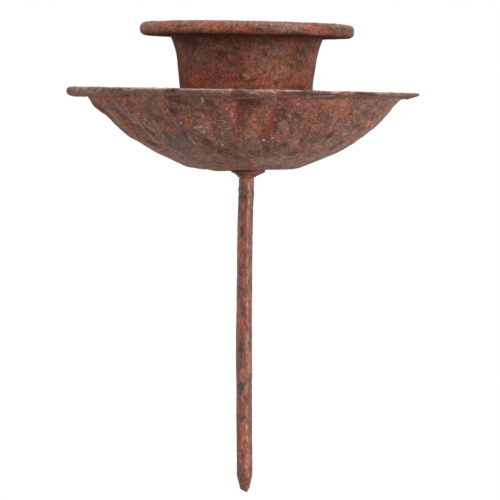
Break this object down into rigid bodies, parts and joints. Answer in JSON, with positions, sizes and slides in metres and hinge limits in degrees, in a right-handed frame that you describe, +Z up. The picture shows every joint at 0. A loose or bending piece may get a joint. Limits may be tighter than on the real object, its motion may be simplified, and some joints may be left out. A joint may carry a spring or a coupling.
{
  "type": "taper candle holder",
  "caption": "Taper candle holder on a spike: a flared cup with a broad rolled brim stands in a fluted drip dish, riveted to a slim rod that pushes into a wreath, pot or foam.",
  "frame": {"origin": "on the spike's axis, level with the underside of the drip dish", "axes": "+Z up along the spike's axis towards the cup's mouth; -Y faces the camera of the picture, +X is to the right in it"},
  "size_m": [0.0702, 0.0702, 0.0942],
  "materials": {
    "rusted_cup": "matte rust-brown paint, mottled with grey and orange, pitted",
    "rusted_dish": "matte rust-brown paint, mottled with blue-grey and orange, lumpy and pitted",
    "rusted_spike": "matte rust-brown paint, streaked lengthwise with dark bands",
    "rusted_fastener": "matte dark rust"
  },
  "bodies": {
    "root": {"candle_cup": "rusted_cup", "drip_dish": "rusted_dish", "spike": "rusted_spike", "spike_collar": "rusted_fastener", "rivet_washer": "rusted_fastener"}
  },
  "joints": []
}
